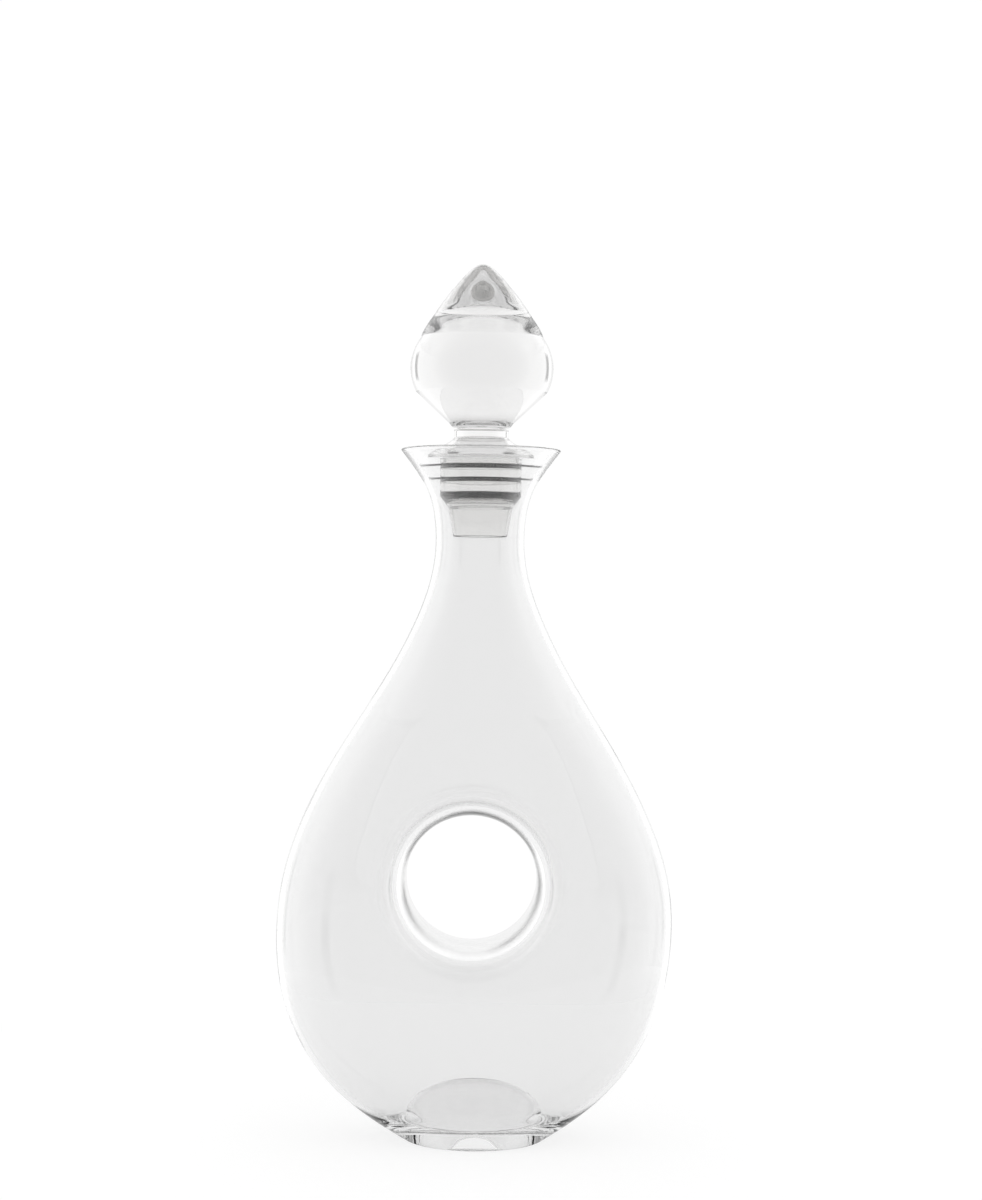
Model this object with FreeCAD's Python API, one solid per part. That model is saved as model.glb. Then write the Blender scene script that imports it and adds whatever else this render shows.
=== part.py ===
import FreeCAD, Part
import math
import os
from FreeCAD import Vector

# Wine decanter: a flattened teardrop body of clear blown glass with a round eye
# through its middle, and a solid glass stopper held by a moulded plastic seal.
# Millimetres. Origin: centre of the foot, on the surface the decanter stands on.
# +Z goes up the neck, X along the body's width, Y through the eye.

# ---- driving dimensions: body -------------------------------------------------
LIP_HEIGHT = 266.8
# Outline of the round neck and lip: radius at heights Z.
NECK_CURVE = [
    (227.9, 17.3), (239.5, 17.7), (251.2, 20.8), (258.9, 25.5), (LIP_HEIGHT, 31.5),
]
# Half width of the body (seen along Y) and half depth (seen along X) at heights Z.
WIDTH_CURVE = [
    (0.0, 27.0), (2.8, 31.9), (10.3, 43.2), (21.9, 56.1), (37.5, 66.8), (56.9, 74.0),
    (78.3, 76.6), (99.6, 74.9), (122.9, 67.5), (150.2, 53.4), (177.4, 36.6),
    (196.8, 26.3), (212.3, 20.2),
] + NECK_CURVE
DEPTH_CURVE = [
    (0.0, 27.0), (2.8, 28.7), (10.3, 32.0), (21.9, 34.9), (37.5, 37.0), (56.9, 38.3),
    (78.3, 38.5), (99.6, 37.6), (122.9, 35.2), (150.2, 30.8), (177.4, 25.4),
    (196.8, 21.4), (212.3, 18.8),
] + NECK_CURVE
# The belly of hand-made glass sits a little to one side of the foot and neck.
CENTRE_CURVE = [
    (0.0, 0.0), (14.0, -0.8), (38.0, -1.3), (62.0, -1.1), (88.0, -0.5), (140.0, -0.4),
    (190.0, 0.0), (227.9, 0.0), (LIP_HEIGHT, 0.0),
]
# A section is a superellipse: round in the foot and neck, squarer in the belly.
ROUND_POWER = 2.0
BELLY_POWER = 2.3
BELLY_POWER_HEIGHT = 85.0
BELLY_POWER_SPREAD = 85.0
SECTION_POINTS = 32
SECTION_COUNT = 32
SECTION_CROWDING = 0.75

WALL = 1.9
# The wall gets thinner over the last few millimetres below the lip.
LIP_WALL_SHARE = 0.6
LIP_TAPER_START = 254.0
CAVITY_OVERRUN = 4.0
FLOOR_TOP = 6.5
FLOOR_CORNER = 7.0
LIP_ROUND = 0.55
FOOT_ROUND = 0.8
# The base is a thick lens of glass: hollowed a little under the foot, crowned inside.
HOLLOW_UNDER_RADIUS = 24.0
HOLLOW_UNDER_DEPTH = 3.0
CROWN_RADIUS = 26.6
CROWN_BASE = 5.5
CROWN_TOP = 21.8
DOME_POWER = 2.2
DOME_STEPS = 12

# ---- driving dimensions: eye --------------------------------------------------
EYE_X = -1.9
EYE_Z = 100.2
EYE_RADIUS = 25.3
EYE_FLARE = 3.2
EYE_WALL = 3.0
EYE_RIM_ROUND = 7.0
EYE_REACH = 60.0
EYE_RIM_SEARCH = 8.0

# ---- driving dimensions: stopper and seal -------------------------------------
STOPPER_TOP = 338.8
# Outline of the onion-shaped head, radius and height: pointed top, round band, cone.
POINT_CURVE = [
    (0.0, STOPPER_TOP), (4.9, 336.3), (9.7, 331.2), (14.7, 325.0), (20.0, 317.2),
    (22.9, 312.6), (23.9, 310.0),
]
# Run and rise of the point's side where it meets the band.
POINT_END_SLOPE = (0.37, -1.0)
BAND_MIDDLE = (27.7, 299.6)
BAND_BASE = (25.5, 289.0)
HEAD_BASE = (12.6, 277.0)
BEAD_RADIUS = 11.3
BEAD_BASE = 275.4
GROOVE_RADIUS = 9.4
GROOVE_TOP = 275.2
GROOVE_BASE = 274.7
NECK_RADIUS = 10.6
NECK_TOP = 274.4
NECK_BASE = 271.0
SHOULDER_BASE = 263.0
SHOULDER_RADIUS = 20.6
SHOULDER_EDGE = 1.0
STEM_RADIUS = 14.8
STEM_END = 250.7
STEM_ROUND = 1.2

SEAL_TOP = 262.7
SEAL_BOTTOM = 232.9
SEAL_BORE_CLEARANCE = 0.03
SEAL_CORE_RADIUS = 15.8
SEAL_CORE_BASE = 248.6
# Top and underside of each ring fin.
FINS = [(260.5, 259.2), (255.6, 254.2)]
FIN_ROOT = 0.15
FIN_NECK_GAP = 0.42
SEAL_TIP_TOP = 244.0
SEAL_TIP_SPREAD = 12.4
SEAL_TIP_RADIUS = 10.5
SOCKET_FLOOR = 250.2
HOLLOW_TOP = 248.5
HOLLOW_SPREAD = 13.4
HOLLOW_CORNER = 1.6
HOLLOW_NECK = 244.8
HOLLOW_RADIUS = 10.6
HOLLOW_MOUTH = 9.3

PARTS_FOLDER = "parts"
PICK_TOLERANCE = 0.05


def natural_spline(points):
    """Natural cubic spline through (x, y) points, straight beyond its ends."""
    xs = [p[0] for p in points]
    ys = [p[1] for p in points]
    last = len(points) - 1
    gaps = [xs[i + 1] - xs[i] for i in range(last)]
    slopes = [(ys[i + 1] - ys[i]) / gaps[i] for i in range(last)]
    bends = [0.0] * (last + 1)
    diagonal = [1.0] * (last + 1)
    for i in range(1, last):
        ratio = 0.0 if i == 1 else gaps[i - 1] / diagonal[i - 1]
        diagonal[i] = 2.0 * (gaps[i - 1] + gaps[i]) - ratio * gaps[i - 1]
        bends[i] = 6.0 * (slopes[i] - slopes[i - 1]) - ratio * bends[i - 1]
    for i in range(last - 1, 0, -1):
        bends[i] = (bends[i] - gaps[i] * bends[i + 1]) / diagonal[i]

    def value(x):
        if x <= xs[0]:
            return ys[0] + (x - xs[0]) * (slopes[0] - gaps[0] * bends[1] / 6.0)
        if x >= xs[last]:
            end_slope = slopes[-1] + gaps[-1] * bends[last - 1] / 6.0
            return ys[last] + (x - xs[last]) * end_slope
        i = max(k for k in range(last) if xs[k] <= x)
        right = (x - xs[i]) / gaps[i]
        left = 1.0 - right
        curve = (left ** 3 - left) * bends[i] + (right ** 3 - right) * bends[i + 1]
        return left * ys[i] + right * ys[i + 1] + curve * gaps[i] ** 2 / 6.0

    return value


half_width = natural_spline(WIDTH_CURVE)
half_depth = natural_spline(DEPTH_CURVE)
centre_x = natural_spline(CENTRE_CURVE)


def section_power(z):
    """Superellipse power of the section at height z."""
    reach = min(1.0, abs(z - BELLY_POWER_HEIGHT) / BELLY_POWER_SPREAD)
    fade = (1.0 - reach ** 2) ** 2
    return ROUND_POWER + (BELLY_POWER - ROUND_POWER) * fade


def inset(curve, z, wall):
    """The curve's value moved inwards by the wall, which gets thinner towards the lip."""
    step = 0.05
    slope = (curve(z + step) - curve(z - step)) / (2.0 * step)
    share = (z - LIP_TAPER_START) / (LIP_HEIGHT - LIP_TAPER_START)
    taper = (1.0 - LIP_WALL_SHARE) * min(1.0, max(0.0, share))
    return curve(z) - wall * (1.0 - taper) * math.sqrt(1.0 + slope * slope)


def section_wire(z, wall):
    """Closed smooth section of the body at height z, inset by the wall."""
    width = inset(half_width, z, wall)
    depth = inset(half_depth, z, wall)
    power = section_power(z)
    points = []
    for i in range(SECTION_POINTS):
        angle = 2.0 * math.pi * i / SECTION_POINTS
        cosine = math.cos(angle)
        sine = math.sin(angle)
        q = (abs(cosine) ** power + abs(sine) ** power) ** (1.0 / power)
        points.append(Vector(centre_x(z) + width * cosine / q, depth * sine / q, z))
    curve = Part.BSplineCurve()
    curve.interpolate(Points=points, PeriodicFlag=True)
    return Part.Wire(curve.toShape())


def body_loft(bottom, top, wall):
    """Solid through the body's sections, which crowd towards the foot and the lip."""
    sections = []
    for i in range(SECTION_COUNT + 1):
        even = i / SECTION_COUNT
        crowded = (1.0 - math.cos(math.pi * even)) / 2.0
        share = even + SECTION_CROWDING * (crowded - even)
        sections.append(section_wire(bottom + (top - bottom) * share, wall))
    return Part.makeLoft(sections, True, False)


def eye_plug(radius):
    """Solid that fills the eye: a waisted bar along Y."""
    centre = Vector(EYE_X, 0, EYE_Z)
    flare = EYE_FLARE * (EYE_REACH / half_depth(EYE_Z)) ** 2
    near = centre + Vector(radius + flare, -EYE_REACH, 0)
    far = centre + Vector(radius + flare, EYE_REACH, 0)
    waist = Part.Arc(near, centre + Vector(radius, 0, 0), far).toShape()
    axis_near = centre + Vector(0, -EYE_REACH, 0)
    axis_far = centre + Vector(0, EYE_REACH, 0)
    wire = Part.Wire([
        Part.makeLine(axis_near, near),
        waist,
        Part.makeLine(far, axis_far),
        Part.makeLine(axis_far, axis_near),
    ])
    return Part.Face(wire).revolve(centre, Vector(0, 1, 0), 360)


def eye_rims(shape, radius):
    """Edges where the eye meets the body's faces."""
    rims = []
    for edge in shape.Edges:
        box = edge.BoundBox
        reach = radius + EYE_RIM_SEARCH
        on_one_side = box.YMin > 0.0 or box.YMax < 0.0
        round_the_eye = box.ZMin > EYE_Z - reach and box.ZMax < EYE_Z + reach
        if on_one_side and round_the_eye and box.ZLength > radius:
            rims.append(edge)
    return rims


def revolved(edges):
    """Solid turned about Z from a closed outline in the XZ plane."""
    return Part.Face(Part.Wire(edges)).revolve(Vector(0, 0, 0), Vector(0, 0, 1), 360)


def polyline_edges(points):
    """Straight edges through (radius, height) points."""
    corners = [Vector(r, 0, z) for r, z in points]
    return [Part.makeLine(a, b) for a, b in zip(corners, corners[1:])]


def dome(radius, base, top):
    """Solid dome on a flat base, with a flattish crown and full shoulders."""
    points = []
    for step in range(DOME_STEPS + 1):
        turn = math.pi / 2.0 * step / DOME_STEPS
        across = radius * math.sin(turn) ** (2.0 / DOME_POWER)
        rise = (top - base) * max(0.0, math.cos(turn)) ** (2.0 / DOME_POWER)
        points.append(Vector(across, 0, base + rise))
    points[-1] = Vector(radius, 0, base)
    curve = Part.BSplineCurve()
    curve.interpolate(
        Points=points,
        InitialTangent=Vector(1, 0, 0),
        FinalTangent=Vector(0, 0, -1),
    )
    return revolved([curve.toShape()] + polyline_edges([(radius, base), (0.0, base), (0.0, top)]))


def decanter_outside():
    """Outside of the glass, with the eye through it and its rims rounded."""
    solid = body_loft(0.0, LIP_HEIGHT, 0.0)
    solid = solid.cut(eye_plug(EYE_RADIUS))
    return solid.makeFillet(EYE_RIM_ROUND, eye_rims(solid, EYE_RADIUS))


def decanter_cavity():
    """Space inside the glass, from the floor up through the mouth."""
    solid = body_loft(FLOOR_TOP, LIP_HEIGHT + CAVITY_OVERRUN, WALL)
    floor_edges = [e for e in solid.Edges if e.BoundBox.ZMax < FLOOR_TOP + PICK_TOLERANCE]
    solid = solid.makeFillet(FLOOR_CORNER, floor_edges)
    solid = solid.cut(dome(CROWN_RADIUS, CROWN_BASE, CROWN_TOP))
    sleeve = EYE_RADIUS + EYE_WALL
    solid = solid.cut(eye_plug(sleeve))
    return solid.makeFillet(EYE_RIM_ROUND - WALL, eye_rims(solid, sleeve))


def decanter_body():
    """The whole vessel, with a melted lip and a softened foot."""
    glass = decanter_outside().cut(decanter_cavity())
    glass = glass.cut(dome(HOLLOW_UNDER_RADIUS, 0.0, HOLLOW_UNDER_DEPTH))
    lip = [e for e in glass.Edges if e.BoundBox.ZMin > LIP_HEIGHT - PICK_TOLERANCE]
    glass = glass.makeFillet(LIP_ROUND, lip)
    foot = []
    for edge in glass.Edges:
        box = edge.BoundBox
        if box.ZMax < PICK_TOLERANCE and box.XMax > half_width(0.0) - PICK_TOLERANCE:
            foot.append(edge)
    return glass.makeFillet(FOOT_ROUND, foot)


def stopper_glass():
    """Pointed onion head, beaded neck, conical shoulder and stem, all one piece."""
    point = Part.BSplineCurve()
    point.interpolate(
        Points=[Vector(r, 0, z) for r, z in POINT_CURVE],
        InitialTangent=Vector(1, 0, 0),
        FinalTangent=Vector(POINT_END_SLOPE[0], 0, POINT_END_SLOPE[1]),
    )
    band_top, band_middle, band_base = [
        Vector(r, 0, z) for r, z in (POINT_CURVE[-1], BAND_MIDDLE, BAND_BASE)
    ]
    below_the_band = [
        BAND_BASE,
        HEAD_BASE,
        (BEAD_RADIUS, BEAD_BASE),
        (GROOVE_RADIUS, GROOVE_TOP),
        (GROOVE_RADIUS, GROOVE_BASE),
        (NECK_RADIUS, NECK_TOP),
        (NECK_RADIUS, NECK_BASE),
        (SHOULDER_RADIUS, SHOULDER_BASE + SHOULDER_EDGE),
        (SHOULDER_RADIUS, SHOULDER_BASE),
        (STEM_RADIUS, SHOULDER_BASE),
        (STEM_RADIUS, STEM_END + STEM_ROUND),
        (STEM_RADIUS - STEM_ROUND, STEM_END),
        (0.0, STEM_END),
        (0.0, STOPPER_TOP),
    ]
    edges = [point.toShape(), Part.Arc(band_top, band_middle, band_base).toShape()]
    return revolved(edges + polyline_edges(below_the_band))


def fin_outline(top, base):
    """One ring fin: out along its top, down its edge and back underneath."""
    return [
        (SEAL_CORE_RADIUS, top + FIN_ROOT),
        (inset(half_width, top, WALL) - FIN_NECK_GAP, top),
        (inset(half_width, base, WALL) - FIN_NECK_GAP, base),
        (SEAL_CORE_RADIUS, base - FIN_ROOT),
    ]


def stopper_seal():
    """Moulded sleeve: socket for the stem, two ring fins and a hollow tip."""
    bore = STEM_RADIUS + SEAL_BORE_CLEARANCE
    outline = [(bore, SEAL_TOP), (SEAL_CORE_RADIUS, SEAL_TOP)]
    for top, base in FINS:
        outline += fin_outline(top, base)
    outline += [
        (SEAL_CORE_RADIUS, SEAL_CORE_BASE),
        (SEAL_TIP_SPREAD, SEAL_TIP_TOP),
        (SEAL_TIP_RADIUS, SEAL_BOTTOM),
        (HOLLOW_MOUTH, SEAL_BOTTOM),
        (HOLLOW_RADIUS, HOLLOW_NECK),
        (HOLLOW_SPREAD, HOLLOW_TOP - HOLLOW_CORNER),
        (HOLLOW_SPREAD - HOLLOW_CORNER, HOLLOW_TOP),
        (0.0, HOLLOW_TOP),
        (0.0, SOCKET_FLOOR),
        (bore, SOCKET_FLOOR),
        (bore, SEAL_TOP),
    ]
    return revolved(polyline_edges(outline))


def write(name, shape):
    """Save one sub-part and print its size and soundness."""
    box = shape.optimalBoundingBox()
    shape.exportStep(os.path.join(PARTS_FOLDER, name + ".step"))
    low = [round(v, 2) for v in (box.XMin, box.YMin, box.ZMin)]
    high = [round(v, 2) for v in (box.XMax, box.YMax, box.ZMax)]
    print(name, "valid", shape.isValid(), "solids", len(shape.Solids))
    print("  volume_cm3", round(shape.Volume / 1000.0, 2), "box", low, high)


os.makedirs(PARTS_FOLDER, exist_ok=True)
write("stopper_glass", stopper_glass())
write("stopper_seal", stopper_seal())
write("decanter_body", decanter_body())
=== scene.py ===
import math
import bmesh
import bpy
import numpy as np
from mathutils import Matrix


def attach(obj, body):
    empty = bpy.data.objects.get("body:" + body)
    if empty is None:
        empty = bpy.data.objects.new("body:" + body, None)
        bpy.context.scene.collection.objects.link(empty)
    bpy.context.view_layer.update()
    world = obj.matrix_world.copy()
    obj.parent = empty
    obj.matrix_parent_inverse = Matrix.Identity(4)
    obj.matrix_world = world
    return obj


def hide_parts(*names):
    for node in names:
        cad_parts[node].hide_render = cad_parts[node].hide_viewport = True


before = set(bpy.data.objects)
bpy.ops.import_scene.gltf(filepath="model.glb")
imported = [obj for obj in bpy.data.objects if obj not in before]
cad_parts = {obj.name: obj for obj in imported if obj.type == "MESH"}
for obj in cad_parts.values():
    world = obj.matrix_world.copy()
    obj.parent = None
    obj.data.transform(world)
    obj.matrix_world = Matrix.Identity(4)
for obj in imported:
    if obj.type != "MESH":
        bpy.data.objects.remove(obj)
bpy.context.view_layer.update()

MM = 0.001

# ---- camera: level, a little above the middle, rolled a little -------------------
CAMERA_DISTANCE = 0.971
CAMERA_HEIGHT = 0.2084
CAMERA_SIDE = 0.0045
CAMERA_ROLL = math.radians(-0.65)
FRAME_HEIGHT_AT_AXIS = 0.4661
SENSOR = 36.0
CLIP_START = 0.01
CLIP_END = 50.0


def make_camera():
    """The camera, with its lens set so that the frame's height fits at the axis."""
    data = bpy.data.cameras.new("camera")
    camera = bpy.data.objects.new("camera", data)
    bpy.context.scene.collection.objects.link(camera)
    data.sensor_fit = "VERTICAL"
    data.sensor_height = SENSOR
    data.sensor_width = SENSOR
    data.lens = SENSOR * CAMERA_DISTANCE / FRAME_HEIGHT_AT_AXIS
    data.clip_start = CLIP_START
    data.clip_end = CLIP_END
    camera.location = (CAMERA_SIDE, -CAMERA_DISTANCE, CAMERA_HEIGHT)
    camera.rotation_euler = (math.radians(90), CAMERA_ROLL, 0)
    bpy.context.scene.camera = camera


make_camera()

# ---- driving dimensions of the glass, in millimetres -----------------------------
# As the CAD model has them, but for the belly's depth, which is set 0.05 mm less so
# that the spline stays within the CAD box. The eye's rims, the foot's edge and the
# way the wall runs into the floor are shaped a little differently there.
LIP_HEIGHT = 266.8
# (height, radius) of the neck, then half width, half depth and sideways place.
NECK_CURVE = [
    (227.9, 17.3), (239.5, 17.7), (251.2, 20.8), (258.9, 25.5), (LIP_HEIGHT, 31.5),
]
WIDTH_CURVE = [
    (0.0, 27.0), (2.8, 31.9), (10.3, 43.2), (21.9, 56.1), (37.5, 66.8), (56.9, 74.0),
    (78.3, 76.6), (99.6, 74.9), (122.9, 67.5), (150.2, 53.4), (177.4, 36.6),
    (196.8, 26.3), (212.3, 20.2),
] + NECK_CURVE
DEPTH_CURVE = [
    (0.0, 27.0), (2.8, 28.7), (10.3, 32.0), (21.9, 34.9), (37.5, 37.0), (56.9, 38.3),
    (78.3, 38.45), (99.6, 37.6), (122.9, 35.2), (150.2, 30.8), (177.4, 25.4),
    (196.8, 21.4), (212.3, 18.8),
] + NECK_CURVE
CENTRE_CURVE = [
    (0.0, 0.0), (14.0, -0.8), (38.0, -1.3), (62.0, -1.1), (88.0, -0.5), (140.0, -0.4),
    (190.0, 0.0), (227.9, 0.0), (LIP_HEIGHT, 0.0),
]
ROUND_POWER = 2.0
BELLY_POWER = 2.3
BELLY_POWER_HEIGHT = 85.0
BELLY_POWER_SPREAD = 85.0
WALL = 1.9
# The wall gets thinner over the last few millimetres below the lip.
LIP_WALL_SHARE = 0.6
LIP_TAPER_START = 254.0
SLOPE_STEP = 0.05
FLOOR_TOP = 6.5
# The base is a thick lens of glass: hollowed a little under the foot, crowned inside.
HOLLOW_UNDER_RADIUS = 24.0
HOLLOW_UNDER_DEPTH = 3.0
CROWN_RADIUS = 26.6
CROWN_TOP = 21.8
CROWN_GAP = 0.4
DOME_POWER = 2.2
EYE_X = -1.9
EYE_Z = 100.2
EYE_RADIUS = 25.3
EYE_WALL = 3.0
EYE_RIM = 12.0
EYE_RIM_POWERS = (2.2, 3.0)
INNER_RIM = 10.0


def natural_spline(points):
    """Natural cubic spline through (x, y) points, straight beyond its ends."""
    xs = np.array([p[0] for p in points])
    ys = np.array([p[1] for p in points])
    gaps = np.diff(xs)
    slopes = np.diff(ys) / gaps
    count = len(xs)
    matrix = np.eye(count)
    right = np.zeros(count)
    for i in range(1, count - 1):
        matrix[i, i - 1:i + 2] = gaps[i - 1], 2.0 * (gaps[i - 1] + gaps[i]), gaps[i]
        right[i] = 6.0 * (slopes[i] - slopes[i - 1])
    bends = np.linalg.solve(matrix, right)
    low_slope = slopes[0] - gaps[0] * bends[1] / 6.0
    high_slope = slopes[-1] + gaps[-1] * bends[-2] / 6.0

    def value(x):
        x = np.asarray(x, float)
        i = np.clip(np.searchsorted(xs, x) - 1, 0, count - 2)
        t = (x - xs[i]) / gaps[i]
        s = 1.0 - t
        curve = (s ** 3 - s) * bends[i] + (t ** 3 - t) * bends[i + 1]
        inside = s * ys[i] + t * ys[i + 1] + curve * gaps[i] ** 2 / 6.0
        below = ys[0] + (x - xs[0]) * low_slope
        above = ys[-1] + (x - xs[-1]) * high_slope
        return np.where(x < xs[0], below, np.where(x > xs[-1], above, inside))

    return value


half_width = natural_spline(WIDTH_CURVE)
half_depth = natural_spline(DEPTH_CURVE)
centre_x = natural_spline(CENTRE_CURVE)


def section_power(z):
    """Power of the section's superellipse: 2 is round, more is squarer."""
    reach = np.minimum(1.0, np.abs(z - BELLY_POWER_HEIGHT) / BELLY_POWER_SPREAD)
    return ROUND_POWER + (BELLY_POWER - ROUND_POWER) * (1.0 - reach ** 2) ** 2


def inset(curve, wall):
    """The curve moved inwards by the wall, which gets thinner towards the lip."""
    def value(z):
        slope = (curve(z + SLOPE_STEP) - curve(z - SLOPE_STEP)) / (2.0 * SLOPE_STEP)
        share = np.clip((z - LIP_TAPER_START) / (LIP_HEIGHT - LIP_TAPER_START), 0.0, 1.0)
        here = wall * (1.0 - (1.0 - LIP_WALL_SHARE) * share)
        return curve(z) - here * np.sqrt(1.0 + slope * slope)

    return value


class Skin:
    """One face of the glass: its sections and the eye's waist and rim in it."""

    def __init__(self, wall, eye_radius, rim):
        self.width = inset(half_width, wall)
        self.depth = inset(half_depth, wall)
        self.waist = eye_radius
        self.reach = eye_radius + rim

    def ring(self, z, angles):
        """Points of the section at height z."""
        return ring_points(self.width(z), self.depth(z), z, z, angles)

    def face_y(self, x, z):
        """How far the face stands from the middle plane at (x, z), eye left out."""
        share = np.abs((x - centre_x(z)) / self.width(z))
        power = section_power(z)
        return self.depth(z) * (1.0 - np.minimum(share, 1.0) ** power) ** (1.0 / power)


def ring_points(width, depth, z, shape_z, angles):
    """Superellipse ring; shape_z picks the section's power and sideways place."""
    power = section_power(shape_z)
    c, s = np.cos(angles), np.sin(angles)
    q = (np.abs(c) ** power + np.abs(s) ** power) ** (1.0 / power)
    x = centre_x(shape_z) + width * c / q
    return np.stack([x, depth * s / q, np.full_like(x, z)], axis=1)


class Mesh:
    """Collects points and quads, and becomes one smooth Blender object."""

    def __init__(self):
        self.blocks = []
        self.count = 0
        self.faces = []

    def add(self, points):
        """Adds points and returns their numbers."""
        points = np.atleast_2d(points)
        first = self.count
        self.blocks.append(points)
        self.count += len(points)
        return np.arange(first, self.count)

    def strip(self, low, high, closed=True):
        """Quads between two rows of the same length."""
        n = len(low)
        for i in range(n if closed else n - 1):
            k = (i + 1) % n
            self.faces.append((low[i], low[k], high[k], high[i]))

    def cap(self, row, point):
        """Triangles from a row to one point."""
        tip = self.add(point)[0]
        n = len(row)
        for i in range(n):
            self.faces.append((row[i], row[(i + 1) % n], tip))

    def object(self, name, material):
        """The finished object, with its faces turned outwards."""
        points = np.concatenate(self.blocks) * MM
        mesh = bpy.data.meshes.new(name)
        faces = [tuple(int(i) for i in face) for face in self.faces]
        mesh.from_pydata(points.tolist(), [], faces)
        mesh.validate()
        work = bmesh.new()
        work.from_mesh(mesh)
        bmesh.ops.recalc_face_normals(work, faces=work.faces)
        work.to_mesh(mesh)
        work.free()
        mesh.polygons.foreach_set("use_smooth", [True] * len(mesh.polygons))
        mesh.materials.append(material)
        made = bpy.data.objects.new(name, mesh)
        bpy.context.scene.collection.objects.link(made)
        return made


# ---- the vessel ------------------------------------------------------------------
COLUMNS = 256
EYE_COLUMNS = 28
EYE_ROWS = 60
EYE_WINDOW = (54.0, 147.0)
EYE_LAYERS = 14
RIM_LAYERS = 26
LOW_ROWS = 40
LOW_ROWS_INSIDE = 28
HIGH_ROWS = 90
# How strongly the rows crowd towards the lip, the foot and the floor.
LIP_CROWDING = 1.25
FOOT_CROWDING = 1.5
FLOOR_CROWDING = 1.1


def clustered(start, end, count, power):
    """Heights from start to end, closer together towards start."""
    return start + (end - start) * np.linspace(0.0, 1.0, count + 1) ** power


def eye_loop(rows, front):
    """Point numbers round the window's edge, in the same (x, z) order back and front."""
    middle = 3 * COLUMNS // 4
    columns = [middle - EYE_COLUMNS + i for i in range(2 * EYE_COLUMNS + 1)]
    if not front:
        columns = [(COLUMNS - i) % COLUMNS for i in columns]
    loop = [rows[0][i] for i in columns]
    loop += [row[columns[-1]] for row in rows[1:]]
    loop += [rows[-1][i] for i in columns[-2::-1]]
    loop += [row[columns[0]] for row in rows[-2:0:-1]]
    return loop


def in_window(column):
    """True for a cell's column inside the front or back window."""
    for middle in (COLUMNS // 4, 3 * COLUMNS // 4):
        if middle - EYE_COLUMNS <= column < middle + EYE_COLUMNS:
            return True
    return False


def eye_faces(mesh, skin, rows):
    """Closes the two windows with the eye's faces, rims and tunnel."""
    points = np.concatenate(mesh.blocks)
    loops = [eye_loop(rows, True), eye_loop(rows, False)]
    edge = points[loops[0]]
    away = edge[:, [0, 2]] - (EYE_X, EYE_Z)
    distance = np.hypot(away[:, 0], away[:, 1])
    direction = away / distance[:, None]
    last = list(loops)
    p, q = EYE_RIM_POWERS
    radii = []
    lifts = []
    for k in range(1, EYE_LAYERS + 1):
        share = k / EYE_LAYERS
        radii.append(distance + (skin.reach - distance) * share)
        lifts.append(1.0)
    for k in range(1, RIM_LAYERS + 1):
        turn = math.pi / 2.0 * k / RIM_LAYERS
        inwards = (skin.reach - skin.waist) * math.sin(turn) ** (2.0 / p)
        radii.append(np.full_like(distance, skin.reach - inwards))
        lifts.append(max(0.0, math.cos(turn)) ** (2.0 / q))
    for k, (radius, lift) in enumerate(zip(radii, lifts)):
        x = EYE_X + radius * direction[:, 0]
        z = EYE_Z + radius * direction[:, 1]
        y = skin.face_y(x, z) * lift
        if k == len(radii) - 1:
            waist = mesh.add(np.stack([x, 0.0 * y, z], axis=1))
            mesh.strip(last[0], waist)
            mesh.strip(waist, last[1])
            return
        front = mesh.add(np.stack([x, -y, z], axis=1))
        back = mesh.add(np.stack([x, y, z], axis=1))
        mesh.strip(last[0], front)
        mesh.strip(back, last[1])
        last = [front, back]


def skin_rows(mesh, skin, heights, angles):
    """Rings at the heights, with the eye let into them; returns first and last ring."""
    rows = [mesh.add(skin.ring(z, angles)) for z in heights]
    first = int(np.argmin(np.abs(heights - EYE_WINDOW[0])))
    last = int(np.argmin(np.abs(heights - EYE_WINDOW[1])))
    for j in range(len(rows) - 1):
        for i in range(COLUMNS):
            if first <= j < last and in_window(i):
                continue
            k = (i + 1) % COLUMNS
            mesh.faces.append((rows[j][i], rows[j][k], rows[j + 1][k], rows[j + 1][i]))
    eye_faces(mesh, skin, rows[first:last + 1])
    return rows[0], rows[-1]


FOOT_ROUND = 0.7
FOOT_STEPS = 6
HOLLOW_LIP = 0.4
LIP_START = 266.2
LIP_STEPS = 13
# The inner wall eases into the floor below INNER_START.
INNER_START = 20.0
INNER_GAP = 0.7
FLOOR_SOFTNESS = 2.0
FLOOR_JOIN = 7.0
FLOOR_RUN = 25.0
WALL_STEPS = 19
FLOOR_STEPS = 28
CURVE_STEP = 0.1
DOME_STEPS = 40


def dome_curve(radius, height):
    """(radius, rise) points of a flattish dome with full shoulders, from its top to its rim."""
    points = []
    for turn in np.linspace(0.0, math.pi / 2.0, DOME_STEPS):
        across = math.sin(turn) ** (2.0 / DOME_POWER)
        rise = max(0.0, math.cos(turn)) ** (2.0 / DOME_POWER)
        points.append((radius * across, height * rise))
    return points


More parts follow.
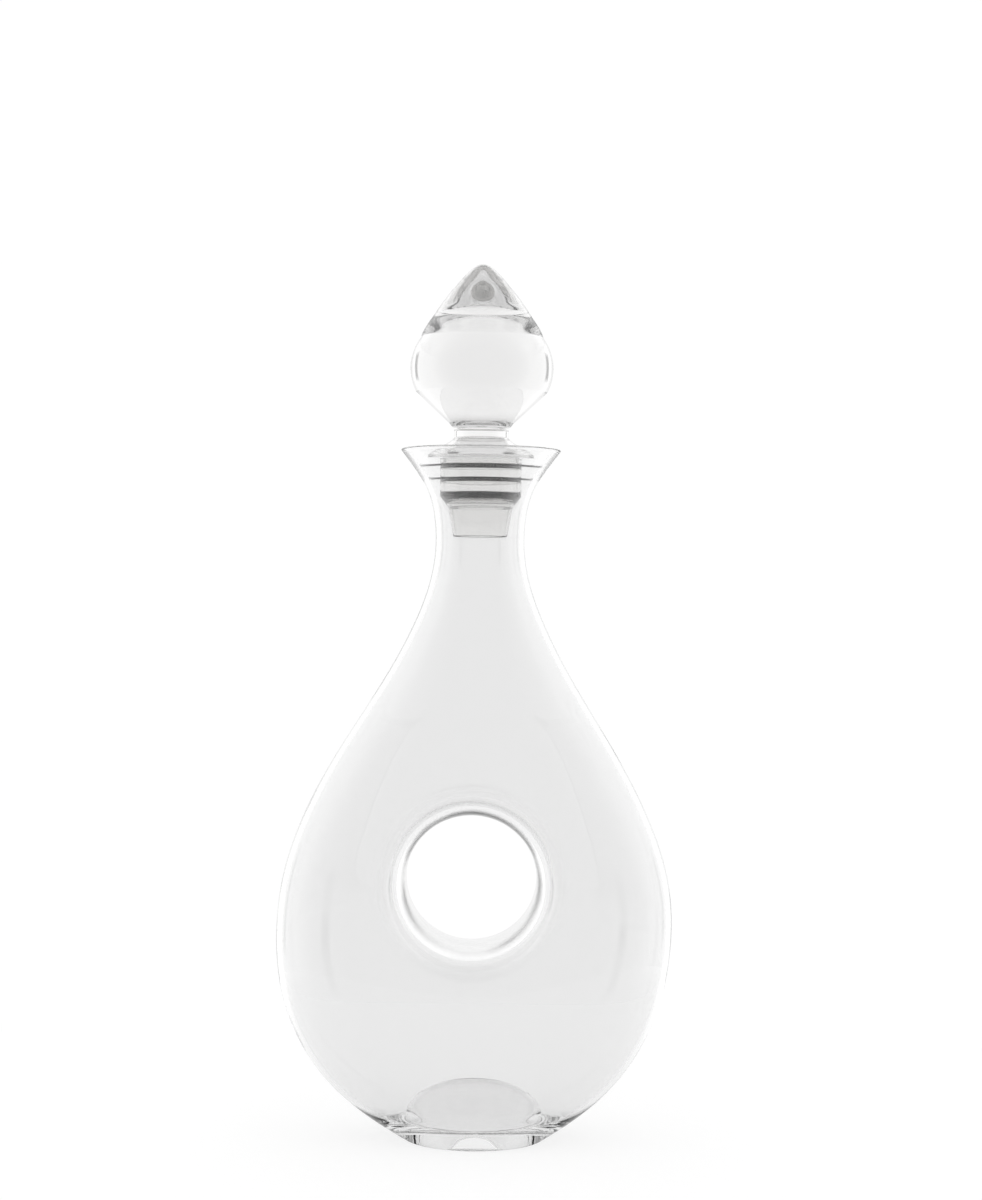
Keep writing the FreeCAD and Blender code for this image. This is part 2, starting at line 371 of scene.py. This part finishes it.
def foot_rows(mesh, outer, angles):
    """Hollow under the foot, foot ring and its rounded edge, from the middle outwards."""
    rings = []
    for radius, rise in dome_curve(HOLLOW_UNDER_RADIUS, HOLLOW_UNDER_DEPTH)[1:]:
        rings.append((radius, rise))
    foot = float(outer.width(0.0))
    rings.append((HOLLOW_UNDER_RADIUS + HOLLOW_LIP, 0.0))
    rings.append(((HOLLOW_UNDER_RADIUS + foot - FOOT_ROUND) / 2.0, 0.0))
    rows = [mesh.add(ring_points(r, r, z, 0.0, angles)) for r, z in rings]
    start = np.array([foot - FOOT_ROUND, foot - FOOT_ROUND, 0.0])
    corner = np.array([foot, foot, 0.0])
    top_z = FOOT_ROUND / 2.0
    end = np.array([float(outer.width(top_z)), float(outer.depth(top_z)), top_z])
    for t in np.linspace(0.0, 1.0, FOOT_STEPS)[:-1]:
        width, depth, z = (1 - t) ** 2 * start + 2 * t * (1 - t) * corner + t * t * end
        rows.append(mesh.add(ring_points(width, depth, z, 0.0, angles)))
    for low, high in zip(rows, rows[1:]):
        mesh.strip(low, high)
    mesh.cap(rows[0], (0.0, 0.0, HOLLOW_UNDER_DEPTH))
    return rows[-1], top_z


def lip_rows(mesh, outer, inner, angles, outer_row, inner_row):
    """Rounded lip between the outside and the inside."""
    outside = float(outer.width(LIP_START))
    inside = float(inner.width(LIP_START))
    rise = LIP_HEIGHT - LIP_START
    last = outer_row
    for turn in np.linspace(0.0, math.pi, LIP_STEPS)[1:-1]:
        radius = (outside + inside) / 2.0 + (outside - inside) / 2.0 * math.cos(turn)
        z = LIP_START + rise * math.sin(turn)
        row = mesh.add(ring_points(radius, radius, z, LIP_HEIGHT, angles))
        mesh.strip(last, row)
        last = row
    mesh.strip(last, inner_row)


def floor_rows(mesh, inner, angles, start_z):
    """Inside of the base: the wall eases into a floor with a crowned middle."""
    def floor_z(v):
        return FLOOR_TOP + FLOOR_SOFTNESS * math.log1p(math.exp((v - FLOOR_TOP) / FLOOR_SOFTNESS))

    def eased(curve, share):
        run = float(curve(FLOOR_JOIN + CURVE_STEP) - curve(FLOOR_JOIN - CURVE_STEP))
        slope = run / (2.0 * CURVE_STEP)
        size = float(curve(FLOOR_JOIN))
        gain = slope * FLOOR_RUN / size
        return size * (1.0 - gain * (1.0 - share) - (1.0 - gain) * (1.0 - share) ** 2)

    rows = []
    for v in np.linspace(start_z, FLOOR_JOIN, WALL_STEPS)[:-1]:
        rows.append(mesh.add(ring_points(inner.width(v), inner.depth(v), floor_z(v), v, angles)))
    for share in np.linspace(1.0, 0.0, FLOOR_STEPS)[:-1]:
        v = FLOOR_JOIN - FLOOR_RUN * (1.0 - share)
        width, depth = eased(inner.width, share), eased(inner.depth, share)
        if depth < CROWN_RADIUS + CROWN_GAP:
            break
        rows.append(mesh.add(ring_points(width, depth, floor_z(v), FLOOR_JOIN * share, angles)))
    base = floor_z(v)
    dome = dome_curve(CROWN_RADIUS, CROWN_TOP - base)[::-1]
    for radius, rise in dome[:-1]:
        rows.append(mesh.add(ring_points(radius, radius, base + rise, 0.0, angles)))
    for low, high in zip(rows, rows[1:]):
        mesh.strip(high, low)
    mesh.cap(rows[-1], (0.0, 0.0, CROWN_TOP))
    return rows[0]


def make_vessel(material):
    """The whole vessel: outer and inner skin, foot, lip, floor and eye."""
    mesh = Mesh()
    outer = Skin(0.0, EYE_RADIUS, EYE_RIM)
    inner = Skin(WALL, EYE_RADIUS + EYE_WALL, INNER_RIM)
    angles = np.linspace(0.0, 2.0 * math.pi, COLUMNS, endpoint=False)
    foot_edge, foot_z = foot_rows(mesh, outer, angles)
    window = np.linspace(*EYE_WINDOW, EYE_ROWS + 1)[:-1]
    high = clustered(LIP_START, EYE_WINDOW[1], HIGH_ROWS, LIP_CROWDING)[::-1]
    low = clustered(foot_z, EYE_WINDOW[0], LOW_ROWS, FOOT_CROWDING)[:-1]
    low_inner = clustered(INNER_START, EYE_WINDOW[0], LOW_ROWS_INSIDE, FLOOR_CROWDING)[:-1]
    out_low, out_high = skin_rows(mesh, outer, np.concatenate([low, window, high]), angles)
    mesh.strip(foot_edge, out_low)
    in_low, in_high = skin_rows(mesh, inner, np.concatenate([low_inner, window, high]), angles)
    lip_rows(mesh, outer, inner, angles, out_high, in_high)
    floor_edge = floor_rows(mesh, inner, angles, INNER_START - INNER_GAP)
    mesh.strip(floor_edge, in_low)
    return mesh.object("decanter_glass", material)


# ---- stopper and seal: turned shapes ---------------------------------------------
# Outsides as the CAD model has them, but for the fins, which are thinner here. Inside,
# the stem ends as a short stub and the seal has webs across it, where the CAD model has
# a longer stem in one deep socket, and the hollow tip's walls are thinner here.
TURNS = 192
ARC_STEPS = 8
SHARPEST = 0.12
LONGEST_RUN = 0.8
POINT_STEPS = 110
POINT_FLAT = 0.12
BAND_STEPS = 60
STOPPER_TOP = 338.8
POINT_CURVE = [
    (0.0, STOPPER_TOP), (4.9, 336.3), (9.7, 331.2), (14.7, 325.0), (20.0, 317.2),
    (22.9, 312.6), (23.9, 310.0),
]
BAND_MIDDLE = (27.7, 299.6)
BAND_BASE = (25.5, 289.0)
HEAD_BASE = (12.6, 277.0)
BEAD_RADIUS = 11.3
NECK_RADIUS = 10.6
BEAD_BASE = 275.4
GROOVE_RADIUS = 9.4
GROOVE_TOP = 275.2
GROOVE_BASE = 274.7
NECK_TOP = 274.4
NECK_BASE = 271.0
SHOULDER_BASE = 263.0
SHOULDER_RADIUS = 20.6
SHOULDER_EDGE = 1.0
STEM_RADIUS = 14.77
STEM_END = 260.8
SEAL_TOP = 262.7
SEAL_BOTTOM = 232.9
FINS = [(260.5, 259.8), (255.6, 254.9)]
FIN_ROOT = 0.15
FIN_NECK_GAP = 0.42
SEAL_CORE_RADIUS = 15.8
SEAL_CORE_BASE = 248.6
SEAL_TIP_TOP = 244.0
SEAL_TIP_SPREAD = 12.4
SEAL_TIP_RADIUS = 10.5
SEAL_WALL = 0.5
CUP_GAP = 0.05
WEBS = [(260.5, 259.2), (255.6, 254.3), (250.2, 248.5)]
HOLLOW_SPREAD = 14.6
HOLLOW_CORNER = 1.6
HOLLOW_NECK = 244.8
HOLLOW_RADIUS = 11.8
HOLLOW_MOUTH = 10.0


def rounded(corners):
    """Polyline through (radius, height, rounding) corners, each turned into an arc."""
    points = [np.array(c[:2], float) for c in corners]
    path = [points[0]]
    for before, here, after, corner in zip(points, points[1:], points[2:], corners[1:-1]):
        rounding = max(corner[2], SHARPEST)
        u = (before - here) / np.linalg.norm(before - here)
        v = (after - here) / np.linalg.norm(after - here)
        half = math.acos(max(-1.0, min(1.0, float(u @ v)))) / 2.0
        reach = rounding / math.tan(half)
        start, end = here + u * reach, here + v * reach
        middle = here + (u + v) / np.linalg.norm(u + v) * rounding / math.sin(half)
        a, b = start - middle, end - middle
        sweep = math.pi - 2.0 * half
        for k in range(ARC_STEPS + 1):
            t = k / ARC_STEPS
            w = (math.sin((1 - t) * sweep) * a + math.sin(t * sweep) * b) / math.sin(sweep)
            path.append(middle + w)
    path.append(points[-1])
    return path


def smooth_path(points, count):
    """Even points along a smooth curve through (radius, height) points."""
    points = np.array(points, float)
    along = np.concatenate([[0.0], np.cumsum(np.linalg.norm(np.diff(points, axis=0), axis=1))])
    radius = natural_spline(list(zip(along, points[:, 0])))
    height = natural_spline(list(zip(along, points[:, 1])))
    steps = np.linspace(0.0, along[-1], count)
    return list(np.stack([radius(steps), height(steps)], axis=1))


def subdivided(path, longest):
    """The path with extra points wherever a run is longer than longest."""
    finer = [path[0]]
    for a, b in zip(path, path[1:]):
        n = max(1, math.ceil(np.linalg.norm(b - a) / longest))
        finer += [a + (b - a) * k / n for k in range(1, n + 1)]
    return finer


def turned_into(mesh, path):
    """Adds a closed solid from a profile that starts and ends on the axis."""
    angles = np.linspace(0.0, 2.0 * math.pi, TURNS, endpoint=False)
    rows = []
    for radius, z in path[1:-1]:
        x, y = radius * np.cos(angles), radius * np.sin(angles)
        rows.append(mesh.add(np.stack([x, y, np.full(TURNS, z)], axis=1)))
    for low, high in zip(rows, rows[1:]):
        mesh.strip(low, high)
    mesh.cap(rows[0], (0.0, 0.0, path[0][1]))
    mesh.cap(rows[-1], (0.0, 0.0, path[-1][1]))


def arc_path(start, middle, end, count):
    """Points on the circle through three (radius, height) points."""
    (ax, ay), (bx, by), (cx, cy) = start, middle, end
    turn = 2.0 * (ax * (by - cy) + bx * (cy - ay) + cx * (ay - by))
    a2, b2, c2 = ax * ax + ay * ay, bx * bx + by * by, cx * cx + cy * cy
    centre = np.array([
        (a2 * (by - cy) + b2 * (cy - ay) + c2 * (ay - by)) / turn,
        (a2 * (cx - bx) + b2 * (ax - cx) + c2 * (bx - ax)) / turn,
    ])
    first, last = np.array(start) - centre, np.array(end) - centre
    begin, finish = math.atan2(first[1], first[0]), math.atan2(last[1], last[0])
    size = np.linalg.norm(first)
    angles = np.linspace(begin, finish, count)
    return [centre + size * np.array([math.cos(t), math.sin(t)]) for t in angles]


def make_stopper(material):
    """The solid glass stopper; third numbers are the roundings of the corners."""
    mirrored = (-POINT_CURVE[1][0], POINT_CURVE[1][1])
    point = smooth_path([mirrored] + POINT_CURVE, POINT_STEPS)
    point = [p for p in point if p[0] > POINT_FLAT]
    band = arc_path(POINT_CURVE[-1], BAND_MIDDLE, BAND_BASE, BAND_STEPS)
    neck = rounded([
        (*band[-2], 0), (*BAND_BASE, 0.8), (*HEAD_BASE, 0.3), (BEAD_RADIUS, BEAD_BASE, 0.5),
        (GROOVE_RADIUS, GROOVE_TOP, SHARPEST), (GROOVE_RADIUS, GROOVE_BASE, SHARPEST),
        (NECK_RADIUS, NECK_TOP, 0.2), (NECK_RADIUS, NECK_BASE, 0.8),
        (SHOULDER_RADIUS, SHOULDER_BASE + SHOULDER_EDGE, 0.5),
        (SHOULDER_RADIUS, SHOULDER_BASE, 0.3),
        (STEM_RADIUS, SHOULDER_BASE, 0), (STEM_RADIUS, STEM_END, 0.4), (0.0, STEM_END, 0),
    ])
    top = [np.array([0.0, STOPPER_TOP])]
    path = top + point[:-1] + band[:-3] + subdivided(neck[1:], LONGEST_RUN)
    mesh = Mesh()
    turned_into(mesh, path)
    return mesh.object("stopper_onion", material)


def fin(level):
    """Corners of one ring fin that reaches out to the neck's wall."""
    inner_neck = inset(half_width, WALL)
    top, base = FINS[level]
    return [
        (SEAL_CORE_RADIUS, top + FIN_ROOT, 0.3),
        (float(inner_neck(top)) - FIN_NECK_GAP, top, 0.3),
        (float(inner_neck(base)) - FIN_NECK_GAP, base, 0.3),
        (SEAL_CORE_RADIUS, base - FIN_ROOT, 0.3),
    ]


def make_seal(material):
    """Three thin-walled cups stacked on each other, each with its web across."""
    bore = SEAL_CORE_RADIUS - SEAL_WALL
    upper = [
        (0.0, WEBS[0][0], 0), (bore, WEBS[0][0], 0.3), (bore, SEAL_TOP, 0.2),
        (SEAL_CORE_RADIUS, SEAL_TOP, 0.2), *fin(0),
        (SEAL_CORE_RADIUS, WEBS[1][0] + CUP_GAP, 0.2),
        (bore, WEBS[1][0] + CUP_GAP, 0.2), (bore, WEBS[0][1], 0.3), (0.0, WEBS[0][1], 0),
    ]
    middle = [
        (0.0, WEBS[1][0], 0), *fin(1)[1:],
        (SEAL_CORE_RADIUS, WEBS[2][0] + CUP_GAP, 0.2), (bore, WEBS[2][0] + CUP_GAP, 0.2),
        (bore, WEBS[1][1], 0.3), (0.0, WEBS[1][1], 0),
    ]
    tip = [
        (0.0, WEBS[2][0], 0), (SEAL_CORE_RADIUS, WEBS[2][0], 0.3),
        (SEAL_CORE_RADIUS, SEAL_CORE_BASE, 0.5), (SEAL_TIP_SPREAD, SEAL_TIP_TOP, 1.0),
        (SEAL_TIP_RADIUS, SEAL_BOTTOM, 0.4), (HOLLOW_MOUTH, SEAL_BOTTOM, 0.4),
        (HOLLOW_RADIUS, HOLLOW_NECK, 1.0), (HOLLOW_SPREAD, WEBS[2][1], HOLLOW_CORNER),
        (0.0, WEBS[2][1], 0),
    ]
    mesh = Mesh()
    for outline in (upper, middle, tip):
        turned_into(mesh, subdivided(rounded(outline), LONGEST_RUN))
    return mesh.object("seal_sleeve", material)


# ---- materials -------------------------------------------------------------------
WAVE_DETAIL = 1.5


def clear_material(name, colour, ior, roughness, wave_size, wave_height):
    """Clear glass or plastic with the faint waves that its making leaves."""
    material = bpy.data.materials.new(name)
    material.use_nodes = True
    nodes, links = material.node_tree.nodes, material.node_tree.links
    shader = nodes["Principled BSDF"]
    shader.inputs["Base Color"].default_value = (*colour, 1.0)
    shader.inputs["Roughness"].default_value = roughness
    shader.inputs["IOR"].default_value = ior
    shader.inputs["Transmission Weight"].default_value = 1.0
    coords = nodes.new("ShaderNodeTexCoord")
    noise = nodes.new("ShaderNodeTexNoise")
    noise.inputs["Scale"].default_value = 1.0 / wave_size
    noise.inputs["Detail"].default_value = WAVE_DETAIL
    bump = nodes.new("ShaderNodeBump")
    bump.inputs["Strength"].default_value = 1.0
    bump.inputs["Distance"].default_value = wave_height
    links.new(coords.outputs["Object"], noise.inputs["Vector"])
    links.new(noise.outputs["Fac"], bump.inputs["Height"])
    links.new(bump.outputs["Normal"], shader.inputs["Normal"])
    return material


def add_absorption(material, per_metre):
    """Long ways through the material darken; the plastic's is strong, for its look."""
    nodes, links = material.node_tree.nodes, material.node_tree.links
    absorb = nodes.new("ShaderNodeVolumeAbsorption")
    absorb.inputs["Color"].default_value = (0.0, 0.0, 0.0, 1.0)
    absorb.inputs["Density"].default_value = per_metre
    links.new(absorb.outputs["Volume"], nodes["Material Output"].inputs["Volume"])


glass = clear_material("blown_glass", (0.91, 0.91, 0.91), 1.5, 0.0, 0.045, 0.00012)
crystal = clear_material("solid_glass", (1.0, 0.997, 0.995), 1.5, 0.0, 0.03, 0.00005)
plastic = clear_material("clear_plastic", (1.0, 0.998, 0.993), 1.46, 0.0, 0.01, 0.00003)
add_absorption(crystal, 3.0)
add_absorption(plastic, 85.0)

vessel = make_vessel(glass)
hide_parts("decanter_body")
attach(vessel, "decanter")

stopper = make_stopper(crystal)
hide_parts("stopper_glass")
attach(stopper, "stopper")

seal = make_seal(plastic)
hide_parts("stopper_seal")
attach(seal, "seal")


# ---- studio ----------------------------------------------------------------------
FLOOR_RADIUS = 320.0
FLOOR_GLOW = 0.82
# Painted shade in reflections: for mirrored rays the floor's glow is darker towards its middle,
# under the glass.
FLOOR_PAINTED_SHADE = [(0.25, 0.35), (0.95, 1.0)]
FLOOR_TONE = 0.2
FLOOR_ROUGHNESS = 0.9
FLOOR_CORNERS = 96
WORLD_STRENGTH = 1.01
LONG_BOUNCES = 24
GLOSSY_BOUNCES = 12


def ramp_node(nodes, stops):
    """Colour ramp through (position, grey) stops."""
    ramp = nodes.new("ShaderNodeValToRGB")
    elements = ramp.color_ramp.elements
    while len(elements) < len(stops):
        elements.new(0.5)
    for element, (position, grey) in zip(elements, stops):
        element.position = position
        element.color = (grey, grey, grey, 1.0)
    return ramp


def math_node(nodes, links, operation, *values):
    """Output of a Math node whose inputs are numbers or other outputs."""
    node = nodes.new("ShaderNodeMath")
    node.operation = operation
    for i, value in enumerate(values):
        if isinstance(value, (int, float)):
            node.inputs[i].default_value = value
        else:
            links.new(value, node.inputs[i])
    return node.outputs[0]


# Light of the studio by direction. SEEN_THROUGH and CEILING go by the sine of the
# elevation, SIDES by -Y..+Y. SEAMS are the dark seams at the sides by |Y|, and
# SEAM_ENDS fades them out by height.
SEEN_THROUGH = [(0.0, 1.0), (0.60, 1.0), (0.71, 0.9), (0.82, 0.7), (0.91, 0.4), (0.97, 0.2)]
CEILING = [(0.0, 1.0), (0.55, 1.0), (0.85, 0.6), (0.95, 0.4)]
SIDES = [(0.12, 0.03), (0.30, 0.35), (0.48, 1.0), (0.90, 1.0), (0.96, 0.5)]
SEAMS = [(0.47, 1.0), (0.51, 0.3), (0.57, 0.3), (0.61, 1.0)]
SEAM_ENDS = [(0.10, 0.0), (0.20, 1.0)]
SIDE_GAIN = 1.8


def is_mirrored(nodes, links, path):
    """One for a ray that a face has just mirrored, zero for all others."""
    return math_node(
        nodes, links, "SUBTRACT", path.outputs["Is Reflection Ray"], path.outputs["Is Diffuse Ray"])


def make_floor():
    """Pale round board that glows evenly; in the glass's reflections its glow is painted shade and
    light, darker towards the camera side and the middle, brighter at the sides.
    """
    mesh = Mesh()
    angles = np.linspace(0.0, 2.0 * math.pi, FLOOR_CORNERS, endpoint=False)
    rim = FLOOR_RADIUS * np.stack([np.cos(angles), np.sin(angles), 0.0 * angles], axis=1)
    mesh.cap(mesh.add(rim), (0.0, 0.0, 0.0))
    material = bpy.data.materials.new("pale_floor")
    material.use_nodes = True
    nodes, links = material.node_tree.nodes, material.node_tree.links
    shader = nodes["Principled BSDF"]
    shader.inputs["Base Color"].default_value = (FLOOR_TONE, FLOOR_TONE, FLOOR_TONE, 1.0)
    shader.inputs["Emission Color"].default_value = (1.0, 1.0, 1.0, 1.0)
    shader.inputs["Roughness"].default_value = FLOOR_ROUGHNESS
    shader.inputs["Specular IOR Level"].default_value = 0.0
    coords = nodes.new("ShaderNodeTexCoord")
    reach = nodes.new("ShaderNodeVectorMath")
    reach.operation = "LENGTH"
    links.new(coords.outputs["Object"], reach.inputs[0])
    split = nodes.new("ShaderNodeSeparateXYZ")
    links.new(coords.outputs["Object"], split.inputs["Vector"])
    way = math_node(nodes, links, "DIVIDE", split.outputs["Y"], reach.outputs["Value"])
    around = math_node(nodes, links, "MULTIPLY_ADD", way, 0.5, 0.5)
    sides = ramp_node(nodes, SIDES)
    links.new(around, sides.inputs["Fac"])
    share = math_node(nodes, links, "DIVIDE", reach.outputs["Value"], FLOOR_RADIUS * MM)
    painted_middle_shade = ramp_node(nodes, FLOOR_PAINTED_SHADE)
    links.new(share, painted_middle_shade.inputs["Fac"])
    # Painted shade and light for rays that the glass mirrors: the glow goes darker towards the
    # camera side and the middle, and brighter at the sides.
    painted_mirror_glow = math_node(nodes, links, "MULTIPLY", sides.outputs["Color"], painted_middle_shade.outputs["Color"])
    mirrored = math_node(nodes, links, "MULTIPLY", painted_mirror_glow, SIDE_GAIN)
    path = nodes.new("ShaderNodeLightPath")
    mirrors = is_mirrored(nodes, links, path)
    change = math_node(nodes, links, "SUBTRACT", mirrored, FLOOR_GLOW)
    glow = math_node(nodes, links, "MULTIPLY_ADD", change, mirrors, FLOOR_GLOW)
    links.new(glow, shader.inputs["Emission Strength"])
    floor = mesh.object("studio_floor", material)


def mix_node(nodes, blend):
    """Colour Mix node with full factor."""
    mix = nodes.new("ShaderNodeMix")
    mix.data_type = "RGBA"
    mix.blend_type = blend
    mix.inputs["Factor"].default_value = 1.0
    return mix


def make_world():
    """Soft studio light: white to the eye, shaped for seen-through and mirrored rays."""
    world = bpy.data.worlds.new("studio")
    bpy.context.scene.world = world
    world.use_nodes = True
    nodes, links = world.node_tree.nodes, world.node_tree.links
    background = nodes["Background"]
    coords = nodes.new("ShaderNodeTexCoord")
    split = nodes.new("ShaderNodeSeparateXYZ")
    links.new(coords.outputs["Generated"], split.inputs["Vector"])
    path = nodes.new("ShaderNodeLightPath")

    through = ramp_node(nodes, SEEN_THROUGH)
    links.new(split.outputs["Z"], through.inputs["Fac"])

    seams = ramp_node(nodes, SEAMS)
    links.new(math_node(nodes, links, "ABSOLUTE", split.outputs["Y"]), seams.inputs["Fac"])
    ends = ramp_node(nodes, SEAM_ENDS)
    links.new(math_node(nodes, links, "ABSOLUTE", split.outputs["Z"]), ends.inputs["Fac"])
    seam = math_node(nodes, links, "MAXIMUM", seams.outputs["Color"], ends.outputs["Color"])
    seamed = mix_node(nodes, "MULTIPLY")
    links.new(through.outputs["Color"], seamed.inputs["A"])
    links.new(seam, seamed.inputs["B"])

    ceiling = ramp_node(nodes, CEILING)
    links.new(split.outputs["Z"], ceiling.inputs["Fac"])
    around = math_node(nodes, links, "MULTIPLY_ADD", split.outputs["Y"], 0.5, 0.5)
    sides = ramp_node(nodes, SIDES)
    links.new(around, sides.inputs["Fac"])
    mirrored = mix_node(nodes, "MULTIPLY")
    links.new(ceiling.outputs["Color"], mirrored.inputs["A"])
    links.new(sides.outputs["Color"], mirrored.inputs["B"])
    gain = nodes.new("ShaderNodeVectorMath")
    gain.operation = "SCALE"
    gain.inputs["Scale"].default_value = SIDE_GAIN
    links.new(mirrored.outputs["Result"], gain.inputs[0])

    pick_through = mix_node(nodes, "MIX")
    pick_through.inputs["A"].default_value = (1.0, 1.0, 1.0, 1.0)
    links.new(path.outputs["Is Transmission Ray"], pick_through.inputs["Factor"])
    links.new(seamed.outputs["Result"], pick_through.inputs["B"])
    pick_mirrored = mix_node(nodes, "MIX")
    links.new(is_mirrored(nodes, links, path), pick_mirrored.inputs["Factor"])
    links.new(pick_through.outputs["Result"], pick_mirrored.inputs["A"])
    links.new(gain.outputs[0], pick_mirrored.inputs["B"])
    links.new(pick_mirrored.outputs["Result"], background.inputs["Color"])
    background.inputs["Strength"].default_value = WORLD_STRENGTH


make_floor()
make_world()

scene = bpy.context.scene
scene.view_settings.view_transform = "Standard"
scene.cycles.max_bounces = LONG_BOUNCES
scene.cycles.transmission_bounces = LONG_BOUNCES
scene.cycles.glossy_bounces = GLOSSY_BOUNCES
scene.cycles.transparent_max_bounces = LONG_BOUNCES
scene.cycles.caustics_reflective = True
scene.cycles.caustics_refractive = True
